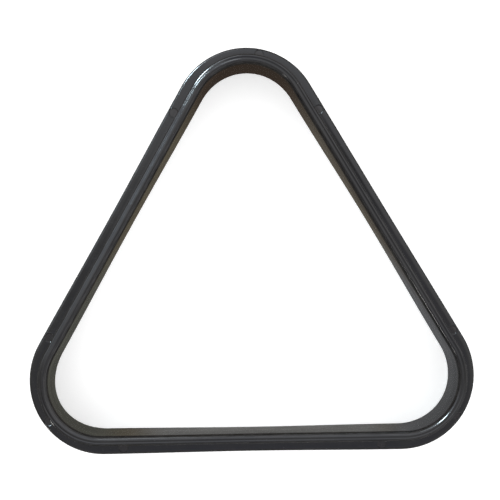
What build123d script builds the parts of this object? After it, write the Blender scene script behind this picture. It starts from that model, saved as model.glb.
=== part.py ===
# Triangle rack for fifteen 57 mm pool balls: one stiff ring of moulded plastic.
#
# The ring has a T-shaped section: an upright ball wall with a grooved top, and a flat
# grip flange that stands out from the wall at half its height. It runs along three
# straight sides and round three corners. Each side and each corner is cut into its
# wall and its flange, and all the pieces meet face to face.
#
# Frame: millimetres, +Z up, the rack lying on Z = 0, its apex towards +Y, the origin
# under the middle of its bounding box. A section is drawn in its own plane, whose
# local x is the distance outward from the line that joins two corner centres, and
# whose local y is the height above the table.

from build123d import *
import math
import os

os.makedirs("parts", exist_ok=True)

# ---- driving dimensions ----
CENTRE_SIDE = 215.0          # side of the triangle that joins the three corner centres
RACK_HEIGHT = 50.0
DRAFT_ANGLE = 1.5            # mould draft on the upright faces, degrees

WALL_INNER_TOP = 37.4        # inner face of the wall at its top, from a corner centre
WALL_TOP_THICKNESS = 7.0
WALL_INNER_FILLET = 3.2      # the top edge over the balls
WALL_OUTER_FILLET = 1.2      # the outer bead of the top
WALL_FOOT_FILLET = 1.4
GROOVE_INSET = 2.4           # from the wall's outer face in to the middle of the groove
GROOVE_WIDTH = 2.3           # the shallow groove that runs along the top
GROOVE_DEPTH = 0.3

FLANGE_OUTER = 53.8          # outer edge of the flange, from a corner centre
FLANGE_THICKNESS = 4.0
FLANGE_EDGE_FILLET = 1.6

MARK_DIAMETER = 6.5          # ejector-pin marks, sunk in the upper face of the flange
MARK_DEPTH = 0.2
UPPER_MARK_INSET = 20.0      # from the apex end of a slanting side to its first mark
LOWER_MARK_INSET = 8.0       # from the lower end of a slanting side to its second mark
BASE_MARK_INSET = 14.0       # from each end of the base side to its mark
CORNER_MARK_TURN = 6.0       # from the middle of a corner round to its mark, degrees

BALL_DIAMETER = 57.15
BALLS_PER_SIDE = 5

# ---- derived dimensions ----
DRAFT_SLOPE = math.tan(math.radians(DRAFT_ANGLE))
FLANGE_BOTTOM = (RACK_HEIGHT - FLANGE_THICKNESS) / 2
FLANGE_TOP = FLANGE_BOTTOM + FLANGE_THICKNESS
WALL_INNER_FOOT = WALL_INNER_TOP + RACK_HEIGHT * DRAFT_SLOPE
WALL_OUTER_TOP = WALL_INNER_TOP + WALL_TOP_THICKNESS
WALL_OUTER_ROOT = WALL_OUTER_TOP + (RACK_HEIGHT - FLANGE_TOP) * DRAFT_SLOPE
WALL_OUTER_FOOT = WALL_OUTER_ROOT - FLANGE_BOTTOM * DRAFT_SLOPE
GROOVE_RADIUS = (GROOVE_WIDTH**2 / 4 + GROOVE_DEPTH**2) / (2 * GROOVE_DEPTH)
MARK_REACH = (WALL_OUTER_ROOT + FLANGE_OUTER) / 2
CORNER_REACH = CENTRE_SIDE / math.sqrt(3)    # from the triangle's centroid to a corner centre
CENTROID_Y = -CORNER_REACH / 4               # brings the bounding box's middle to Y = 0
CORNER_SWEEP = 120.0                         # turn of the ring at each corner, degrees


def outward(bearing):
    """The level unit vector at this bearing, in degrees from +X."""
    turn = math.radians(bearing)
    return Vector(math.cos(turn), math.sin(turn), 0)


def corner_centre(bearing):
    """The centre of the corner that lies at this bearing from the triangle's centroid."""
    return Vector(0, CENTROID_Y, 0) + outward(bearing) * CORNER_REACH


def section_plane(centre, bearing):
    """The upright plane through a corner centre, its local x outward at this bearing."""
    x_dir = outward(bearing)
    return Plane(origin=centre, x_dir=x_dir, z_dir=x_dir.cross(Vector(0, 0, 1)))


def wall_section(plane):
    """The ball wall: drafted faces, rounded edges, and a groove that sets off a bead on top."""
    with BuildSketch(plane) as section:
        with BuildLine():
            Polyline(
                (WALL_INNER_FOOT, 0),
                (WALL_OUTER_FOOT, 0),
                (WALL_OUTER_ROOT, FLANGE_BOTTOM),
                (WALL_OUTER_ROOT, FLANGE_TOP),
                (WALL_OUTER_TOP, RACK_HEIGHT),
                (WALL_INNER_TOP, RACK_HEIGHT),
                close=True,
            )
        make_face()
        top_corners = section.vertices().group_by(Axis.Y)[-1].sort_by(Axis.X)
        fillet(top_corners[0], radius=WALL_INNER_FILLET)
        fillet(top_corners[-1], radius=WALL_OUTER_FILLET)
        fillet(section.vertices().group_by(Axis.Y)[0], radius=WALL_FOOT_FILLET)
        with Locations((WALL_OUTER_TOP - GROOVE_INSET, RACK_HEIGHT - GROOVE_DEPTH + GROOVE_RADIUS)):
            Circle(GROOVE_RADIUS, mode=Mode.SUBTRACT)
    return section.sketch


def flange_section(plane):
    """The grip flange: a flat strip from the wall's outer face to a rounded edge."""
    with BuildSketch(plane) as section:
        with BuildLine():
            Polyline(
                (WALL_OUTER_ROOT, FLANGE_BOTTOM),
                (FLANGE_OUTER, FLANGE_BOTTOM),
                (FLANGE_OUTER, FLANGE_TOP),
                (WALL_OUTER_ROOT, FLANGE_TOP),
                close=True,
            )
        make_face()
        fillet(section.vertices().group_by(Axis.X)[-1], radius=FLANGE_EDGE_FILLET)
    return section.sketch


# Each corner: its name, the bearing of its middle, and the bearing of its mark.
corners = [
    ("apex", 90, 90 - 2 * CORNER_MARK_TURN),
    ("left_corner", 210, 210 + CORNER_MARK_TURN),
    ("right_corner", 330, 330 - CORNER_MARK_TURN),
]

# Each side: its name, the bearing that it faces, the bearing of the corner where it
# starts, and how far along it its marks lie.
sides = [
    ("right_side", 30, 90, [UPPER_MARK_INSET, CENTRE_SIDE - LOWER_MARK_INSET]),
    ("base_side", 270, 330, [BASE_MARK_INSET, CENTRE_SIDE - BASE_MARK_INSET]),
    ("left_side", 150, 210, [LOWER_MARK_INSET, CENTRE_SIDE - UPPER_MARK_INSET]),
]

# ---- corners: the sections turned about each corner's upright axis ----
for name, middle, mark_bearing in corners:
    centre = corner_centre(middle)
    start_plane = section_plane(centre, middle - CORNER_SWEEP / 2)
    corner_axis = Axis(centre, Vector(0, 0, 1))

    with BuildPart() as corner_wall:
        revolve(wall_section(start_plane), axis=corner_axis, revolution_arc=CORNER_SWEEP)
    corner_wall.part.label = f"{name}_wall"
    export_step(corner_wall.part, f"parts/{name}_wall.step")

    with BuildPart() as corner_flange:
        revolve(flange_section(start_plane), axis=corner_axis, revolution_arc=CORNER_SWEEP)
        mark_spot = centre + outward(mark_bearing) * MARK_REACH
        with BuildSketch(Plane.XY.offset(FLANGE_TOP)):
            with Locations((mark_spot.X, mark_spot.Y)):
                Circle(MARK_DIAMETER / 2)
        extrude(amount=-MARK_DEPTH, mode=Mode.SUBTRACT)
    corner_flange.part.label = f"{name}_flange"
    export_step(corner_flange.part, f"parts/{name}_flange.step")

# ---- sides: the same sections run straight from one corner to the next ----
for name, facing, start_corner, mark_distances in sides:
    start = corner_centre(start_corner)
    start_plane = section_plane(start, facing)

    with BuildPart() as side_wall:
        extrude(wall_section(start_plane), amount=CENTRE_SIDE)
    side_wall.part.label = f"{name}_wall"
    export_step(side_wall.part, f"parts/{name}_wall.step")

    with BuildPart() as side_flange:
        extrude(flange_section(start_plane), amount=CENTRE_SIDE)
        with BuildSketch(Plane.XY.offset(FLANGE_TOP)):
            for distance in mark_distances:
                spot = start + outward(facing) * MARK_REACH + start_plane.z_dir * distance
                with Locations((spot.X, spot.Y)):
                    Circle(MARK_DIAMETER / 2)
        extrude(amount=-MARK_DEPTH, mode=Mode.SUBTRACT)
    side_flange.part.label = f"{name}_flange"
    export_step(side_flange.part, f"parts/{name}_flange.step")

# ---- does the rack hold its balls? ----
ball_pack_reach = (BALLS_PER_SIDE - 1) * BALL_DIAMETER / math.sqrt(3) + BALL_DIAMETER / 2
wall_at_ball_centre = WALL_INNER_FOOT - BALL_DIAMETER / 2 * DRAFT_SLOPE
corner_room = CORNER_REACH + wall_at_ball_centre - ball_pack_reach
print(f"outside: {CENTRE_SIDE + 2 * FLANGE_OUTER:.1f} wide")
print(f"outside: {1.5 * CORNER_REACH + 2 * FLANGE_OUTER:.1f} from base to apex")
print(f"room beyond each corner ball: {corner_room:.2f}")
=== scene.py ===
# Triangle rack for pool balls: the visible model, in metres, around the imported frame.
#
# The rack is one moulding with a T-shaped section: an upright ball wall with a grooved
# top, and a flat grip flange half-way up its outer face. The section is swept round
# three corners and along three sides. Every CAD node gets one closed mesh of its own,
# and neighbouring meshes share their end stations and their normals, so no seam shows.

import math

import bpy
import numpy as np
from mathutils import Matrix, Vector


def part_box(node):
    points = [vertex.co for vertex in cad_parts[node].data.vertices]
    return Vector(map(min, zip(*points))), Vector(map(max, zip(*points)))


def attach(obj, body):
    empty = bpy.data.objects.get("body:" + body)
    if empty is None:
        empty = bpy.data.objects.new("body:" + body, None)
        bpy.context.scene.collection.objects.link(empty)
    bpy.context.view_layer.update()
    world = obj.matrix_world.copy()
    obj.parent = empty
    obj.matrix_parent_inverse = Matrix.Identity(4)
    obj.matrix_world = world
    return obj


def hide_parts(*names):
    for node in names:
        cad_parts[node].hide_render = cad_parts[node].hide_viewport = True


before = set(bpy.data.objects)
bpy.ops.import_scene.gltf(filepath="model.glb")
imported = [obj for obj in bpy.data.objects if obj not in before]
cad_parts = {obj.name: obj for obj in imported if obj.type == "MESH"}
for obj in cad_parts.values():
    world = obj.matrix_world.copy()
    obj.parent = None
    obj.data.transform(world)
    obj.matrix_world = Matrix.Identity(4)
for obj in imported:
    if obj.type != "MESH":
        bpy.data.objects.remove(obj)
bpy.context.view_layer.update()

MM = 0.001

# ---- the ring's plan, read from the CAD nodes ----
CENTRE_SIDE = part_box("base_side_wall")[1].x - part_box("base_side_wall")[0].x
FLANGE_OUTER = -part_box("left_corner_flange")[0].x - CENTRE_SIDE / 2
WALL_OUTER_ROOT = -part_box("left_corner_wall")[0].x - CENTRE_SIDE / 2
RACK_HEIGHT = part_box("apex_wall")[1].z
FLANGE_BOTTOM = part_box("apex_flange")[0].z
FLANGE_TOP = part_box("apex_flange")[1].z
CORNER_REACH = CENTRE_SIDE / math.sqrt(3)      # from the triangle's centroid to a corner centre
CENTROID_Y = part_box("base_side_flange")[0].y + FLANGE_OUTER + CORNER_REACH / 2

# ---- the section ----
DRAFT_SLOPE = math.tan(math.radians(1.5))
WALL_INNER_TOP = 37.4 * MM
WALL_OUTER_TOP = WALL_OUTER_ROOT - (RACK_HEIGHT - FLANGE_TOP) * DRAFT_SLOPE
WALL_INNER_FOOT = WALL_INNER_TOP + RACK_HEIGHT * DRAFT_SLOPE
WALL_OUTER_FOOT = WALL_OUTER_ROOT - FLANGE_BOTTOM * DRAFT_SLOPE
INNER_FILLET = 3.5 * MM                        # the top edge over the balls
OUTER_FILLET = 1.7 * MM                        # the outer edge of the top
FOOT_FILLET = 1.4 * MM
GROOVE_OUTER_LIP = 1.7 * MM                    # from the wall's outer face in to the groove
GROOVE_MIDDLE = 2.6 * MM
GROOVE_INNER_LIP = 3.2 * MM
GROOVE_DEPTH = 0.25 * MM
GROOVE_ROUNDING = 0.5 * MM
EDGE_FILLET = 1.6 * MM                         # the flange's outer edge
ROOT_FILLET = 0.5 * MM                         # where the flange meets the wall
ROOT_TUCK = 0.3 * MM                           # how far the flange reaches into the wall
FLASH_HEIGHT = 0.07 * MM                       # mould parting line round the flange's edge
FLASH_WIDTH = 0.18 * MM

# ---- small departures from the drawing, set to match the outline and the highlights ----
FOOT_PINCH = 0.4 * MM                          # the foot stands in where side meets corner
CORE_SHIFT = np.array([0.7, 0.2]) * MM         # the inner face stands a little to one side,
CORE_EASE = 0.3 * MM                           # and a little further out all round
TOP_SHIFT = np.array([0.5, 0.05]) * MM         # the wall leans a little to one side
TOP_BOW = 0.15                                 # how much of the sides' bow reaches the top
TOP_SWELL = 0.6 * MM                           # the wall's top is wider from apex to right,
GROOVE_DEEPER = 0.12 * MM                      # and its groove is deeper there
GROOVE_FILL = 0.95                             # the left side's groove is all but filled,
CAMBER_START = 39.4 * MM                       # and its top falls away outwards
CAMBER_WIDTH = 3.3 * MM
CAMBER_DROP = 0.44 * MM
LAND_ROLL = 0.18 * MM                          # the flange rolls off towards its edge,
LAND_ROLL_START = 0.62                         # after this share of its width
LAND_SINK = 0.05 * MM                          # the flange sinks along its middle,
LAND_SINK_MORE = 0.16 * MM                     # and more along the right side
LAND_SINK_WAVE = 0.6                           # how much of the sinking comes and goes
DISH_WIDTH = 0.6                               # the share of the flange's width that sinks
LAND_WAVE = 0.05 * MM                          # waves in the flange's height,
WALL_WAVE = 0.045 * MM                         # in the wall's faces,
WALL_WAVE_OUTSIDE = 0.4                        # less of them on its outer face,
TOP_EDGE_WAVE = 0.06 * MM                      # in the edges of its top
TOP_WAVE = 0.05 * MM                           # and in the top's height
MARK_RADIUS = 3.25 * MM                        # ejector-pin marks
MARK_DEPTH = 0.35 * MM
MARK_EDGE = 0.5 * MM
MARK_LIP = 0.03 * MM                           # the raised rim round a mark
MARK_LIP_WIDTH = 0.3 * MM
MARK_REACH = (WALL_OUTER_ROOT + FLANGE_OUTER) / 2

# ---- how the departures fade in and out ----
TOP_BAND = 3 * MM                              # from the wall's top downwards
FOOT_FADE = 4 * MM
HEAD_FADE = 6 * MM
LEAN_START = FLANGE_TOP + 2 * MM               # the height from which the wall leans
WALL_MIDDLE = 41 * MM                          # about midway between the wall's faces
INNER_HALF_FADE = 2 * MM
INNER_FACE_FADE = 3 * MM
OUTER_HALF_FADE = 1.5 * MM
ROOT_FADE = 0.05 * MM                          # to either side of the wall's outer face
LAND_FADE = 1.2 * MM                           # from the wall's outer face outwards
LAND_TOP_FADE = 0.4 * MM
LAND_TOP_START = FLANGE_TOP - EDGE_FILLET * 0.6
RIGHT_SIDE_FADE_IN = 0.35                      # shares of the right side's length
RIGHT_SIDE_FADE_OUT = 0.3
# bearing in degrees, then the offset and slope of the step on how much a station faces it
FACING_RIGHT = (30, 0.5, 0.9)
FACING_LEFT = (150, -1, 2)
FACING_SWELL = (45, 0.2, 1)

# ---- mesh fineness ----
CORNER_STEPS = 96
SIDE_STEPS = 86
ARC_STEPS = 9                                  # segments in a quarter turn of a fillet
RUN_SPACING = 1.6 * MM
LAND_SPACING = 0.27 * MM
MARK_SPACING = 0.22 * MM
FINE_SPACING = 0.25 * MM                       # over the groove
EDGE_SPACING = 0.1 * MM                        # over the flange's edge
NO_SPLIT = 1                                   # longer than any run, so that it stays whole
FILLET_ROOM = 0.99                             # keeps a fillet clear of the next corner
ROOT_FILLET_ROOM = 0.98
TRAVEL_STEP = 1e-4                             # the steps that the normals are taken over
SECTION_STEP = 0.02 * MM
END_NUDGE = 1e-9                               # keeps a stretch's ends in that stretch
CORNER_SWEEP = math.radians(120)
RING_RADIUS = 44 * MM                          # where distance along the ring is measured


# ==== the ring: corners and sides in one clockwise travel from the apex's right ====
# Each stretch: its name, kind, the bearing it starts at, how far its middle pulls in and
# how far its foot leans out there, and the marks it carries, as fractions of its length.
UPPER_MARK = 20 * MM / CENTRE_SIDE
LOWER_MARK = 1 - 8 * MM / CENTRE_SIDE
BASE_MARK = 14 * MM / CENTRE_SIDE
MARK_TURN = math.radians(6) / CORNER_SWEEP

STRETCHES = [
    ("right_side", "side", 30, 0.2 * MM, 1.1 * MM, [UPPER_MARK, LOWER_MARK]),
    ("right_corner", "corner", 30, 0.0, 0.3 * MM, [0.5 + MARK_TURN]),
    ("base_side", "side", -90, 0.65 * MM, 1.0 * MM, [BASE_MARK, 1 - BASE_MARK]),
    ("left_corner", "corner", -90, 0.0, 1.9 * MM, [0.5 - MARK_TURN]),
    ("left_side", "side", 150, 0.55 * MM, 1.0 * MM, [1 - LOWER_MARK, 1 - UPPER_MARK]),
    ("apex", "corner", 150, 0.0, 0.2 * MM, [0.5 + MARK_TURN * 2.0]),
]
CORNER_LENGTH = RING_RADIUS * CORNER_SWEEP
PERIMETER = 3 * (CENTRE_SIDE + CORNER_LENGTH)


def heading(bearing):
    """Level unit vectors at these bearings, in radians from +X."""
    return np.stack([np.cos(bearing), np.sin(bearing)], axis=-1)


def corner_centre(bearing):
    """The centre of the corner at this bearing, in degrees, from the centroid."""
    turn = math.radians(bearing)
    return np.array([0.0, CENTROID_Y]) + CORNER_REACH * heading(np.array(turn))


def stations(travel):
    """Origin, outward direction, distance along the ring, bow and lean at each travel.

    Travel counts stretches clockwise: 2.25 is a quarter of the way along STRETCHES[2].
    """
    travel = np.mod(np.atleast_1d(np.asarray(travel, float)), 6)
    index = np.minimum(np.floor(travel).astype(int), 5)
    part = travel - index
    origin = np.zeros((len(travel), 2))
    outward = np.zeros((len(travel), 2))
    along = np.zeros(len(travel))
    middle = np.sin(math.pi * part) ** 2
    bow = np.zeros(len(travel))
    lean = np.zeros(len(travel))
    for number, (_, kind, start, pull, splay, _) in enumerate(STRETCHES):
        here = index == number
        if not here.any():
            continue
        before = (number + 1) // 2 * CENTRE_SIDE + number // 2 * CORNER_LENGTH
        first = math.radians(start)
        bow[here] = pull * middle[here]
        lean[here] = (splay + FOOT_PINCH) * middle[here] - FOOT_PINCH
        if kind == "side":
            begin = corner_centre(start + 60)
            runs = np.array([math.sin(first), -math.cos(first)])
            origin[here] = begin + part[here, None] * CENTRE_SIDE * runs
            outward[here] = heading(np.full(here.sum(), first))
            along[here] = before + part[here] * CENTRE_SIDE
        else:
            origin[here] = corner_centre(start - 60)
            outward[here] = heading(first - part[here] * CORNER_SWEEP)
            along[here] = before + part[here] * CORNER_LENGTH
    return origin, outward, along, bow, lean


# ==== section outlines ====
def outline(corners, spacings):
    """A closed outline of (r, z) points with its corners rounded.

    corners holds (r, z, fillet radius); spacings holds the point spacing of the run
    that follows each corner. Returns the points and how sharply each one is rounded.
    """
    points = []
    wear = []
    count = len(corners)
    ends = []
    for i, (r, z, radius) in enumerate(corners):
        here = np.array([r, z])
        back = np.array(corners[i - 1][:2]) - here
        ahead = np.array(corners[(i + 1) % count][:2]) - here
        back /= np.linalg.norm(back)
        ahead /= np.linalg.norm(ahead)
        if radius == 0:
            ends.append((here, here, None, 0.0))
            continue
        half = math.acos(np.clip(back @ ahead, -1, 1)) / 2
        reach = radius / math.tan(half)
        centre = here + (back + ahead) / np.linalg.norm(back + ahead) * radius / math.sin(half)
        ends.append((here + back * reach, here + ahead * reach, centre, radius))
    for i, (start, end, centre, radius) in enumerate(ends):
        if centre is None:
            points.append(start)
            wear.append(0.0)
        else:
            a0 = math.atan2(*(start - centre)[::-1])
            a1 = math.atan2(*(end - centre)[::-1])
            turn = (a1 - a0 + math.pi) % (2 * math.pi) - math.pi
            steps = max(3, round(ARC_STEPS * abs(turn) / (math.pi / 2)))
            for k in range(steps + 1):
                a = a0 + turn * k / steps
                points.append(centre + radius * np.array([math.cos(a), math.sin(a)]))
                wear.append(math.sin(math.pi * k / steps) if turn > 0 else 0.0)
        following = ends[(i + 1) % count][0]
        length = np.linalg.norm(following - end)
        pieces = max(1, round(length / spacings[i]))
        for k in range(1, pieces):
            points.append(end + (following - end) * k / pieces)
            wear.append(0.0)
    return np.array(points), np.array(wear)


def outer_face(z):
    """How far out the wall's outer face stands at this height."""
    return WALL_OUTER_ROOT - max(z - FLANGE_TOP, FLANGE_BOTTOM - z, 0) * DRAFT_SLOPE


def wall_outline():
    """The ball wall with its rounded, grooved top."""
    corners = [
        (WALL_INNER_FOOT, 0, FOOT_FILLET),
        (WALL_OUTER_FOOT, 0, FOOT_FILLET),
        (WALL_OUTER_ROOT, FLANGE_BOTTOM, 0),
        (WALL_OUTER_ROOT, FLANGE_TOP, 0),
        (WALL_OUTER_TOP, RACK_HEIGHT, OUTER_FILLET * FILLET_ROOM),
        (WALL_OUTER_TOP - GROOVE_OUTER_LIP, RACK_HEIGHT, 0),
        (WALL_OUTER_TOP - GROOVE_MIDDLE, RACK_HEIGHT - GROOVE_DEPTH, GROOVE_ROUNDING),
        (WALL_OUTER_TOP - GROOVE_INNER_LIP, RACK_HEIGHT, GROOVE_ROUNDING / 4),
        (WALL_INNER_TOP, RACK_HEIGHT, INNER_FILLET),
    ]
    groove = [FINE_SPACING] * 4
    foot = 4 * FINE_SPACING
    return outline(corners, [foot, RUN_SPACING, NO_SPLIT, RUN_SPACING, *groove, RUN_SPACING])


def flange_outline():
    """The grip flange, its foot fillets tucked a little way into the wall."""
    low = FLANGE_BOTTOM - ROOT_FILLET
    high = FLANGE_TOP + ROOT_FILLET
    middle = (FLANGE_BOTTOM + FLANGE_TOP) / 2
    edge = FLANGE_OUTER - FLASH_HEIGHT
    corners = [
        (outer_face(low) - ROOT_TUCK, low, 0),
        (outer_face(low), low, 0),
        (outer_face(FLANGE_BOTTOM), FLANGE_BOTTOM, ROOT_FILLET * ROOT_FILLET_ROOM),
        (edge, FLANGE_BOTTOM, EDGE_FILLET),
        (edge, middle - FLASH_WIDTH, 0),
        (FLANGE_OUTER, middle, 0),
        (edge, middle + FLASH_WIDTH, 0),
        (edge, FLANGE_TOP, EDGE_FILLET),
        (outer_face(FLANGE_TOP), FLANGE_TOP, ROOT_FILLET * ROOT_FILLET_ROOM),
        (outer_face(high), high, 0),
        (outer_face(high) - ROOT_TUCK, high, 0),
    ]
    edge_runs = [EDGE_SPACING, NO_SPLIT, NO_SPLIT, EDGE_SPACING]
    spacings = [NO_SPLIT, NO_SPLIT, RUN_SPACING, *edge_runs, LAND_SPACING] + [NO_SPLIT] * 3
    return outline(corners, spacings)


# ==== the surface: the swept section with its small departures ====
def ripple(along, across, seed, turns=(3, 5, 8, 13)):
    """A smooth wave round the ring, from -1 to 1, that changes slowly across the section."""
    total = 0.0
    weight = 0.0
    for k, count in enumerate(turns):
        share = 1 / (k + 1.5)
        phase = seed * 1.7 + k * 2.3
        lean = (40 + 25 * k) * (1 if (k + seed) % 2 else -1)
        turned = 2 * math.pi * count * along / PERIMETER
        total = total + share * np.sin(turned + lean * across + phase)
        weight += share
    return total / weight


def smooth(x):
    """0 below 0, 1 above 1, and a soft step between."""
    x = np.clip(x, 0, 1)
    return x * x * (3 - 2 * x)


def facing(outward, bearing, offset, slope):
    """From 0 to 1, how much each station faces the bearing."""
    return smooth(offset + slope * outward @ heading(math.radians(bearing)))[:, None]


MARKS = [
    stations(number + share)
    for number, (_, _, _, _, _, shares) in enumerate(STRETCHES)
    for share in shares
]
MARK_SPOTS = [(o + (MARK_REACH - b[0]) * u)[0] for o, u, _, b, _ in MARKS]


def surface(travel, r, z):
    """World points of the surface, for arrays of travel and of section points."""
    origin, outward, along, bow, lean = stations(travel)
    along = along[:, None]
    bow = bow[:, None]
    lean = lean[:, None]
    r = r[None, :]
    z = z[None, :]

    # where each point is on the section, from 0 to 1
    top = smooth((z - (RACK_HEIGHT - TOP_BAND)) / TOP_BAND)
    upright = smooth(z / FOOT_FADE) * smooth((RACK_HEIGHT - z) / HEAD_FADE)
    on_wall = smooth((WALL_OUTER_ROOT + ROOT_FADE - r) / (2 * ROOT_FADE))
    on_land = 1 - smooth((WALL_OUTER_ROOT + LAND_FADE - r) / LAND_FADE)
    inner_half = smooth((WALL_MIDDLE - r) / INNER_HALF_FADE)
    inner_face = smooth((WALL_MIDDLE - r) / INNER_FACE_FADE)
    outer_half = smooth((r - WALL_MIDDLE) / OUTER_HALF_FADE)
    above = on_wall * smooth((z - LEAN_START) / (RACK_HEIGHT - LEAN_START))
    width = np.clip((r - WALL_OUTER_ROOT) / (FLANGE_OUTER - WALL_OUTER_ROOT), 0, 1)
    depth = np.clip(1 - z / RACK_HEIGHT, 0, 1)
    thickness = smooth((z - FLANGE_BOTTOM) / (FLANGE_TOP - FLANGE_BOTTOM))
    upper = smooth((z - LAND_TOP_START) / LAND_TOP_FADE) * on_land
    dish = np.sin(math.pi * np.clip(width / DISH_WIDTH, 0, 1)) ** 2
    roll = smooth((width - LAND_ROLL_START) / (1 - LAND_ROLL_START))
    groove = [WALL_OUTER_TOP - d for d in (GROOVE_INNER_LIP, GROOVE_MIDDLE, GROOVE_OUTER_LIP)]
    valley = np.interp(r, groove, [0, 1, 0])
    camber = np.clip((r - CAMBER_START) / CAMBER_WIDTH, 0, 1) ** 2

    # where each station is round the ring, from 0 to 1
    on_right_side = smooth(travel / RIGHT_SIDE_FADE_IN) * smooth((1 - travel) / RIGHT_SIDE_FADE_OUT)
    facing_right = facing(outward, *FACING_RIGHT)
    facing_left = facing(outward, *FACING_LEFT)
    swell = facing(outward, *FACING_SWELL)

    # how far out
    wall_wave = WALL_WAVE * (WALL_WAVE_OUTSIDE + (1 - WALL_WAVE_OUTSIDE) * inner_half)
    reach = r - bow + lean * depth**2 * (1 - smooth(width))
    reach = reach + above * (1 - TOP_BOW) * bow
    reach = reach + on_wall * upright * wall_wave * ripple(along, z * 2, 1)
    reach = reach + on_wall * top * TOP_EDGE_WAVE * ripple(along, r * 6, 2, (4, 7, 11, 19))

    # how high; the waves in the top only go down, so that it stays within the rack's height
    sink = LAND_SINK + LAND_SINK_MORE * on_right_side[:, None]
    filled = GROOVE_FILL * GROOVE_DEPTH * valley
    height = z + on_wall * top * TOP_WAVE * (ripple(along, r * 8, 3, (3, 7, 11, 17)) - 1)
    height = height - upper * sink * dish * (1 + LAND_SINK_WAVE * ripple(along, r * 3, 4))
    height = height - on_land * LAND_ROLL * facing_right * thickness * roll
    height = height + on_wall * top * facing_left * (filled - CAMBER_DROP * camber)
    height = height - on_wall * top * swell * GROOVE_DEEPER * valley
    height = height + on_land * LAND_WAVE * (ripple(along, r * 5, 5, (5, 9, 14, 23)) - 0.6)

    # to one side
    core = CORE_SHIFT + CORE_EASE * outward[:, None, :]
    xy = origin[:, None, :] + outward[:, None, :] * reach[..., None]
    xy = xy + (above * swell * TOP_SWELL * outer_half)[..., None] * outward[:, None, :]
    xy = xy + above[..., None] * TOP_SHIFT
    xy = xy + (on_wall * inner_face * z / RACK_HEIGHT)[..., None] * core

    for spot in MARK_SPOTS:
        away = np.linalg.norm(xy - spot, axis=-1)
        sunk = 1 - smooth((away - MARK_RADIUS + MARK_EDGE / 2) / MARK_EDGE)
        lip = np.exp(-(((away - MARK_RADIUS - MARK_EDGE * 0.6) / MARK_LIP_WIDTH) ** 2))
        height = height + upper * (MARK_LIP * lip - MARK_DEPTH * sunk)
    return np.concatenate([xy, np.broadcast_to(height, xy.shape[:2])[..., None]], axis=-1)


def mark_floor(points):
    """1 on the floor of an ejector-pin mark, 0 elsewhere."""
    inside = np.zeros(points.shape[:2])
    for spot in MARK_SPOTS:
        away = np.linalg.norm(points[..., :2] - spot, axis=-1)
        inside = np.maximum(inside, 1 - smooth((away - MARK_RADIUS + MARK_EDGE) / MARK_EDGE))
    return inside * (points[..., 2] > (FLANGE_BOTTOM + FLANGE_TOP) / 2)


def surface_normals(travel, r, z):
    """Unit normals of the surface, from small steps along and across it."""
    ahead = surface(travel + TRAVEL_STEP, r, z) - surface(travel - TRAVEL_STEP, r, z)
    # The run of the outline at each point is the mean of its two neighbouring runs, each
    # one weighted by how near it is.
    dr = np.roll(r, -1) - r
    dz = np.roll(z, -1) - z
    length = np.hypot(dr, dz)
    unit = np.stack([dr, dz]) / length
    tangent = unit * np.roll(length, 1) + np.roll(unit, 1, axis=1) * length
    tangent /= np.linalg.norm(tangent, axis=0)
    step_r, step_z = tangent * SECTION_STEP
    across = surface(travel, r + step_r, z + step_z) - surface(travel, r - step_r, z - step_z)
    normal = np.cross(across, ahead)
    return normal / np.linalg.norm(normal, axis=-1, keepdims=True)


def stretch_travel(number, marks_matter):
    """The stations of one stretch, closer together over the marks."""
    _, kind, _, _, _, shares = STRETCHES[number]
    steps = SIDE_STEPS if kind == "side" else CORNER_STEPS
    length = CENTRE_SIDE if kind == "side" else MARK_REACH * CORNER_SWEEP
    parts = list(np.linspace(0, 1, steps + 1))
    if marks_matter:
        reach = (MARK_RADIUS + 3 * MARK_EDGE) / length
        fine = math.ceil(2 * reach * length / MARK_SPACING)
        for share in shares:
            parts = [p for p in parts if abs(p - share) > reach + 0.2 / steps]
            parts += list(np.linspace(share - reach, share + reach, fine + 1))
    return number + np.array(sorted(parts))


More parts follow.
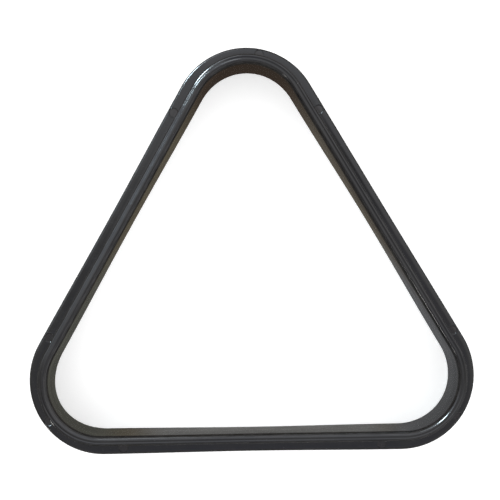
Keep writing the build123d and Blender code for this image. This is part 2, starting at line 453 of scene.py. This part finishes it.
def swept_piece(name, number, section, wear, marks_matter):
    """One closed mesh: the section swept along one stretch, with a cap at each end."""
    travel = stretch_travel(number, marks_matter)
    travel[0] += END_NUDGE
    travel[-1] -= END_NUDGE
    r, z = section.T
    points = surface(travel, r, z)
    normals = surface_normals(travel, r, z)
    rows, columns = points.shape[:2]

    faces = []
    for i in range(rows - 1):
        for j in range(columns):
            k = (j + 1) % columns
            low, high = i * columns, (i + 1) * columns
            faces.append((low + j, low + k, high + k, high + j))
    faces.append(tuple(reversed(range(columns))))
    faces.append(tuple((rows - 1) * columns + j for j in range(columns)))

    mesh = bpy.data.meshes.new(name)
    mesh.from_pydata(points.reshape(-1, 3).tolist(), [], faces)
    mesh.polygons.foreach_set("use_smooth", [True] * len(mesh.polygons))

    # distance along the ring and round the section, in metres, for the surface texture
    along = stations(travel)[2]
    run = np.hypot(*(np.roll(section, -1, axis=0) - section).T)
    round_section = np.concatenate([[0], np.cumsum(run)])
    uv = mesh.uv_layers.new(name="ring")
    loops_uv = []
    loop_normals = []
    for i in range(rows - 1):
        for j in range(columns):
            k = (j + 1) % columns
            for row, column, q in ((i, j, j), (i, k, j + 1), (i + 1, k, j + 1), (i + 1, j, j)):
                loops_uv += [along[row], round_section[q]]
                loop_normals.append(normals[row, column])
    for row in (0, rows - 1):
        flat = mesh.polygons[len(mesh.polygons) - (2 if row == 0 else 1)].normal
        for j in reversed(range(columns)) if row == 0 else range(columns):
            loops_uv += [section[j][0], section[j][1]]
            loop_normals.append(np.array(flat))
    uv.data.foreach_set("uv", loops_uv)
    mesh.normals_split_custom_set([tuple(n) for n in loop_normals])

    worn = mesh.attributes.new("wear", "FLOAT", "POINT")
    worn.data.foreach_set("value", np.tile(wear, rows))
    pressed = mesh.attributes.new("mark", "FLOAT", "POINT")
    pressed.data.foreach_set("value", mark_floor(points).ravel())

    piece = bpy.data.objects.new(name, mesh)
    bpy.context.scene.collection.objects.link(piece)
    return piece


# ==== materials ====
class Nodes:
    """A short way to write node trees."""

    def __init__(self, tree):
        self.tree = tree
        self.tree.nodes.clear()

    def add(self, kind, inputs=None, **settings):
        node = self.tree.nodes.new(kind)
        for key, value in settings.items():
            setattr(node, key, value)
        for key, value in (inputs or {}).items():
            if isinstance(value, bpy.types.NodeSocket):
                self.tree.links.new(value, node.inputs[key])
            else:
                node.inputs[key].default_value = value
        return node

    def math(self, operation, a, b, clamp=False):
        node = self.add("ShaderNodeMath", {0: a, 1: b}, operation=operation, use_clamp=clamp)
        return node.outputs[0]

    def noise(self, vector, scale, detail=2.0, roughness=0.5, distortion=0.0):
        node = self.add(
            "ShaderNodeTexNoise",
            {
                "Vector": vector,
                "Scale": scale,
                "Detail": detail,
                "Roughness": roughness,
                "Distortion": distortion,
            },
        )
        return node.outputs["Fac"]

    def mapped(self, vector, scale=(1, 1, 1), rotation=(0, 0, 0), location=(0, 0, 0)):
        node = self.add(
            "ShaderNodeMapping",
            {"Vector": vector, "Scale": scale, "Rotation": rotation, "Location": location},
        )
        return node.outputs[0]

    def step(self, value, low, high, to_low=0.0, to_high=1.0):
        node = self.add(
            "ShaderNodeMapRange",
            {"Value": value, "From Min": low, "From Max": high, "To Min": to_low, "To Max": to_high},
            interpolation_type="SMOOTHSTEP",
        )
        return node.outputs[0]

    def mix(self, factor, a, b):
        node = self.add("ShaderNodeMix", data_type="RGBA")
        for socket, value in ((node.inputs[0], factor), (node.inputs[6], a), (node.inputs[7], b)):
            if isinstance(value, bpy.types.NodeSocket):
                self.tree.links.new(value, socket)
            else:
                socket.default_value = value
        return node.outputs[2]


COOL_BLACK = (0.0055, 0.0055, 0.0062, 1)
WARM_BLACK = (0.0100, 0.0097, 0.0095, 1)
RUBBED_GREY = (0.045, 0.044, 0.045, 1)
MARK_BROWN = (0.030, 0.025, 0.023, 1)
SPECK_GREY = (0.22, 0.21, 0.2, 1)
WALL_ROUGHNESS = 0.13
FLANGE_ROUGHNESS = 0.15
SHORT_HAIRLINES = [(0.5, 1700), (1.35, 2100), (2.4, 1500)]    # turn, and how fine they are
RELIEF_DEPTH = 0.015 * MM


def moulded_plastic(name, middle_roughness, seed):
    """Black moulded plastic: flow marks, orange peel, rubbed edges, hairlines and smudges."""
    material = bpy.data.materials.new(name)
    material.use_nodes = True
    n = Nodes(material.node_tree)
    place = n.add("ShaderNodeTexCoord").outputs["Object"]
    place = n.mapped(place, location=(seed, seed, seed))
    ring = n.add("ShaderNodeUVMap", uv_map="ring").outputs[0]
    worn = n.add("ShaderNodeAttribute", attribute_name="wear").outputs["Fac"]
    pressed = n.add("ShaderNodeAttribute", attribute_name="mark").outputs["Fac"]

    # colour: almost black, with faint clouds from the moulding and paler rubbed edges
    clouds = n.noise(place, 38, 4, 0.55, 0.4)
    flow = n.noise(n.mapped(ring, (16, 260, 1)), 1.0, 3, 0.6, 0.3)
    tone = n.math("ADD", n.math("MULTIPLY", clouds, 0.6), n.math("MULTIPLY", flow, 0.4))
    tone = n.step(tone, 0.35, 0.65)
    colour = n.mix(tone, COOL_BLACK, WARM_BLACK)
    rub_grain = n.step(n.noise(n.mapped(ring, (90, 1400, 1)), 1.0, 4, 0.65), 0.42, 0.62)
    rubbed = n.math("MULTIPLY", worn, rub_grain)
    colour = n.mix(n.math("MULTIPLY", rubbed, 0.5), colour, RUBBED_GREY)
    colour = n.mix(n.math("MULTIPLY", pressed, 0.35), colour, MARK_BROWN)

    # hairlines: long ones along the ring, short ones lying every way
    long_lines = n.step(n.noise(n.mapped(ring, (7, 2600, 1)), 1.0, 2, 0.5), 0.64, 0.72)
    gaps = n.step(n.noise(n.mapped(ring, (30, 60, 1)), 1.0, 2, 0.5), 0.48, 0.6)
    lines = n.math("MULTIPLY", long_lines, gaps)
    for turn, fineness in SHORT_HAIRLINES:
        leaning = n.mapped(place, (110, fineness, 160), (0.3 * turn, 0.2, turn))
        short = n.step(n.noise(leaning, 1.0, 1, 0.4), 0.70, 0.76)
        lines = n.math("MAXIMUM", lines, n.math("MULTIPLY", short, 0.7))
    specks = n.step(n.noise(place, 900, 1, 0.3), 0.78, 0.83)
    colour = n.mix(n.math("MULTIPLY", specks, 0.25), colour, SPECK_GREY)

    # roughness: smudges and clouds, hairlines rougher, rubbed edges a little smoother
    smudge = n.noise(place, 70, 5, 0.6, 0.8)
    roughness = n.step(smudge, 0.3, 0.7, middle_roughness - 0.035, middle_roughness + 0.06)
    roughness = n.math("ADD", roughness, n.math("MULTIPLY", lines, 0.14))
    roughness = n.math("SUBTRACT", roughness, n.math("MULTIPLY", worn, 0.05), clamp=True)

    # relief: orange peel, fine grain and the hairlines
    peel = n.noise(place, 420, 2, 0.5)
    grain = n.noise(place, 2400, 2, 0.5)
    relief = n.math("ADD", n.math("MULTIPLY", peel, 0.3), n.math("MULTIPLY", grain, 0.03))
    relief = n.math("SUBTRACT", relief, n.math("MULTIPLY", lines, 0.35))
    relief = n.math("ADD", relief, n.math("MULTIPLY", specks, 0.5))
    bump = n.add("ShaderNodeBump", {"Height": relief, "Strength": 0.15, "Distance": RELIEF_DEPTH})

    shader = n.add(
        "ShaderNodeBsdfPrincipled",
        {"Base Color": colour, "Roughness": roughness, "IOR": 1.5, "Normal": bump.outputs[0]},
    )
    n.add("ShaderNodeOutputMaterial", {"Surface": shader.outputs[0]})
    return material


wall_plastic = moulded_plastic("black_wall_plastic", WALL_ROUGHNESS, 0.0)
flange_plastic = moulded_plastic("black_flange_plastic", FLANGE_ROUGHNESS, 3.1)

# ==== the pieces, one for each CAD node ====
PARTS = [
    ("wall", wall_outline(), wall_plastic, False),
    ("flange", flange_outline(), flange_plastic, True),
]
for number, (stretch, *_) in enumerate(STRETCHES):
    for part, (section, wear), plastic, marks_matter in PARTS:
        node = f"{stretch}_{part}"
        piece = swept_piece(f"{node}_moulding", number, section, wear, marks_matter)
        piece.data.materials.append(plastic)
        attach(piece, "root")
        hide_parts(node)


# ==== stage: a pale floor for the camera, and for the reflections a dark table sheet that glows with painted light and shade ====
STAGE_RADIUS = 30.0
TABLE_DROP = 0.5 * MM
FLOOR_GLOW = 0.42                              # brings the floor up to nearly white
# painted light and shade on the reflected table, over its own brown: the axis, where each begins and
# is full, and its colour
# the left half: the table's brown in painted shade
LEFT_HALF_PAINTED_SHADE = (0.150, 0.130, 0.094)
# the right half is painted lit, the left corner painted shade, the right corner painted bluish light
TABLE_PAINTED_LIGHT_AND_SHADE = [
    ("X", -0.03, 0.05, (0.160, 0.141, 0.114)),      # the right half
    ("X", -0.085, -0.12, (0.126, 0.125, 0.106)),    # the left corner
    ("X", 0.085, 0.12, (0.175, 0.178, 0.185)),      # the right corner
]
# painted light on the table beside the base, and painted shade on it beside the apex
BY_BASE_PAINTED_LIGHT = (0.235, 0.233, 0.226)
BY_APEX_PAINTED_SHADE = (0.075, 0.054, 0.040)


def disc(name, radius, height, sides=96):
    """A flat round stage plane."""
    mesh = bpy.data.meshes.new(name)
    turn = np.linspace(0, 2 * math.pi, sides, endpoint=False)
    ring = [(radius * math.cos(a), radius * math.sin(a), height) for a in turn]
    mesh.from_pydata(ring, [], [tuple(range(sides))])
    plane = bpy.data.objects.new(name, mesh)
    bpy.context.scene.collection.objects.link(plane)
    return plane


floor = disc("pale_floor", STAGE_RADIUS, 0.0)
floor.visible_glossy = False
floor_paint = bpy.data.materials.new("pale_floor_paint")
floor_paint.use_nodes = True
n = Nodes(floor_paint.node_tree)
shader = n.add(
    "ShaderNodeBsdfPrincipled",
    {
        "Base Color": (0.93, 0.93, 0.93, 1),
        "Roughness": 0.9,
        "Specular IOR Level": 0.0,
        "Emission Color": (1.0, 1.0, 1.0, 1),
        "Emission Strength": FLOOR_GLOW,
    },
)
n.add("ShaderNodeOutputMaterial", {"Surface": shader.outputs[0]})
floor.data.materials.append(floor_paint)

# a sheet seen only in reflections; it glows with the table's brown and with painted light and shade
table = disc("table_reflected", STAGE_RADIUS, -TABLE_DROP)
table.visible_camera = False
table.visible_diffuse = False
table.visible_transmission = False
table.visible_shadow = False
table_paint = bpy.data.materials.new("table_reflected_painted_light_and_shade")
table_paint.use_nodes = True
n = Nodes(table_paint.node_tree)
spot = n.add("ShaderNodeSeparateXYZ", {0: n.add("ShaderNodeTexCoord").outputs["Object"]})
# the glow's colour: the table's brown with painted shade on its left and at the apex, and painted
# light on its right and beside the base
table_shade_and_light = (*LEFT_HALF_PAINTED_SHADE, 1)
for axis, begins, full, colour in TABLE_PAINTED_LIGHT_AND_SHADE:
    table_shade_and_light = n.mix(n.step(spot.outputs[axis], begins, full), table_shade_and_light, (*colour, 1))
left_end = n.step(spot.outputs["X"], -0.10, -0.06)
right_end = n.step(spot.outputs["X"], 0.11, 0.085)
painted_light_by_base = n.math("MULTIPLY", left_end, right_end)
painted_light_by_base = n.math("MULTIPLY", n.step(spot.outputs["Y"], -0.07, -0.11), painted_light_by_base)
table_shade_and_light = n.mix(painted_light_by_base, table_shade_and_light, (*BY_BASE_PAINTED_LIGHT, 1))
painted_shade_by_apex = n.step(spot.outputs["Y"], 0.075, 0.125)
table_shade_and_light = n.mix(painted_shade_by_apex, table_shade_and_light, (*BY_APEX_PAINTED_SHADE, 1))
# the sheet glows with this painted light and shade, though it is no lamp
glow = n.add("ShaderNodeEmission", {"Color": table_shade_and_light, "Strength": 1.0})
n.add("ShaderNodeOutputMaterial", {"Surface": glow.outputs[0]})
table.data.materials.append(table_paint)


# ==== light ====
def sky_direction(bearing, elevation):
    """The unit vector to this bearing and elevation, in degrees."""
    b = math.radians(bearing)
    e = math.radians(elevation)
    return Vector((math.cos(e) * math.cos(b), math.cos(e) * math.sin(b), math.sin(e)))


world = bpy.data.worlds.new("soft_room")
bpy.context.scene.world = world
world.use_nodes = True
n = Nodes(world.node_tree)
direction = n.add("ShaderNodeTexCoord").outputs["Generated"]


def lobe(bearing, elevation, inner, outer):
    """How far a direction is inside a soft round patch of sky: 1 within inner degrees."""
    middle = sky_direction(bearing, elevation)
    toward = n.add("ShaderNodeVectorMath", {0: direction, 1: middle}, operation="DOT_PRODUCT")
    edge, full = math.cos(math.radians(outer)), math.cos(math.radians(inner))
    return n.step(toward.outputs["Value"], edge, full)


LOW_ROOM = (0.50, 0.50, 0.50, 1)
HIGH_ROOM = (1.30, 1.30, 1.32, 1)
SOFT_WHITE = (1.3, 1.3, 1.3, 1)
height = n.add("ShaderNodeSeparateXYZ", {0: direction}).outputs["Z"]
room = n.mix(n.step(height, 0.05, 0.85), LOW_ROOM, HIGH_ROOM)
# patches of the room: bearing, elevation, inner and outer radius, and their colour
PATCHES = [
    (135, 42, 8, 34, (1.70, 1.88, 2.12)),       # wall round the window
    (325, 45, 12, 40, (0.78, 0.78, 0.80)),      # far wall
    (208, 40, 10, 38, (0.22, 0.21, 0.20)),      # dark corner of the room
    (268, 12, 8, 40, (0.22, 0.21, 0.20)),       # dark wall behind the camera
    (90, 60, 9, 30, (1.48, 1.53, 1.66)),        # ceiling beyond the apex
    (262, 70, 21, 25, (0.56, 0.56, 0.58)),      # the photographer, leaning over
    (270, 76, 5, 14, (0.57, 0.58, 0.70)),       # and their shirt
]
for bearing, elevation, inner, outer, colour in PATCHES:
    room = n.mix(lobe(bearing, elevation, inner, outer), room, (*colour, 1))
# the gloss shows the room, and everything else is lit by plain soft white
in_gloss = n.add("ShaderNodeLightPath").outputs["Is Glossy Ray"]
room = n.mix(in_gloss, SOFT_WHITE, room)
background = n.add("ShaderNodeBackground", {"Color": room, "Strength": 1.0})
n.add("ShaderNodeOutputWorld", {"Surface": background.outputs[0]})


def window(name, bearing, elevation, distance, width, tall, radiance, colour):
    """A bright rectangle far off, facing the rack: it makes the highlights."""
    light = bpy.data.lights.new(name, "AREA")
    light.shape = "RECTANGLE"
    light.size = width
    light.size_y = tall
    light.energy = radiance * width * tall * math.pi
    light.color = colour
    lamp = bpy.data.objects.new(name, light)
    bpy.context.scene.collection.objects.link(lamp)
    away = sky_direction(bearing, elevation)
    lamp.location = away * distance
    lamp.rotation_euler = away.to_track_quat("Z", "Y").to_euler()
    lamp.visible_camera = False
    lamp.visible_diffuse = False


# name, bearing, elevation, distance, width, height, radiance and colour
LAMPS = [
    ("window_upper_left", 130, 39, 3.0, 0.55, 1.3, 78.0, (0.74, 0.91, 1.0)),
    ("window_curtain", 110, 40, 3.0, 1.1, 0.7, 3.0, (0.9, 0.96, 1.0)),
    ("far_lamp", 218.5, 20, 3.0, 0.22, 0.3, 28.0, (1.0, 0.98, 0.95)),
]
for lamp_values in LAMPS:
    window(*lamp_values)

# ==== camera ====
CAMERA_PLACE = (13.3 * MM, -11.5 * MM, 875 * MM)
CAMERA_TILT = (0.72, 0.845, -1.11)             # in degrees, from looking straight down
SENSOR_WIDTH = 36.0                            # this and the lens in millimetres
LENS = 84.18

camera_data = bpy.data.cameras.new("camera")
camera_data.sensor_width = SENSOR_WIDTH
camera_data.lens = LENS
camera_data.clip_start = 0.05
camera_data.clip_end = 100.0
camera = bpy.data.objects.new("camera", camera_data)
camera.location = CAMERA_PLACE
camera.rotation_euler = [math.radians(angle) for angle in CAMERA_TILT]
bpy.context.scene.collection.objects.link(camera)
bpy.context.scene.camera = camera

bpy.context.scene.view_settings.view_transform = "Standard"

bpy.context.view_layer.update()
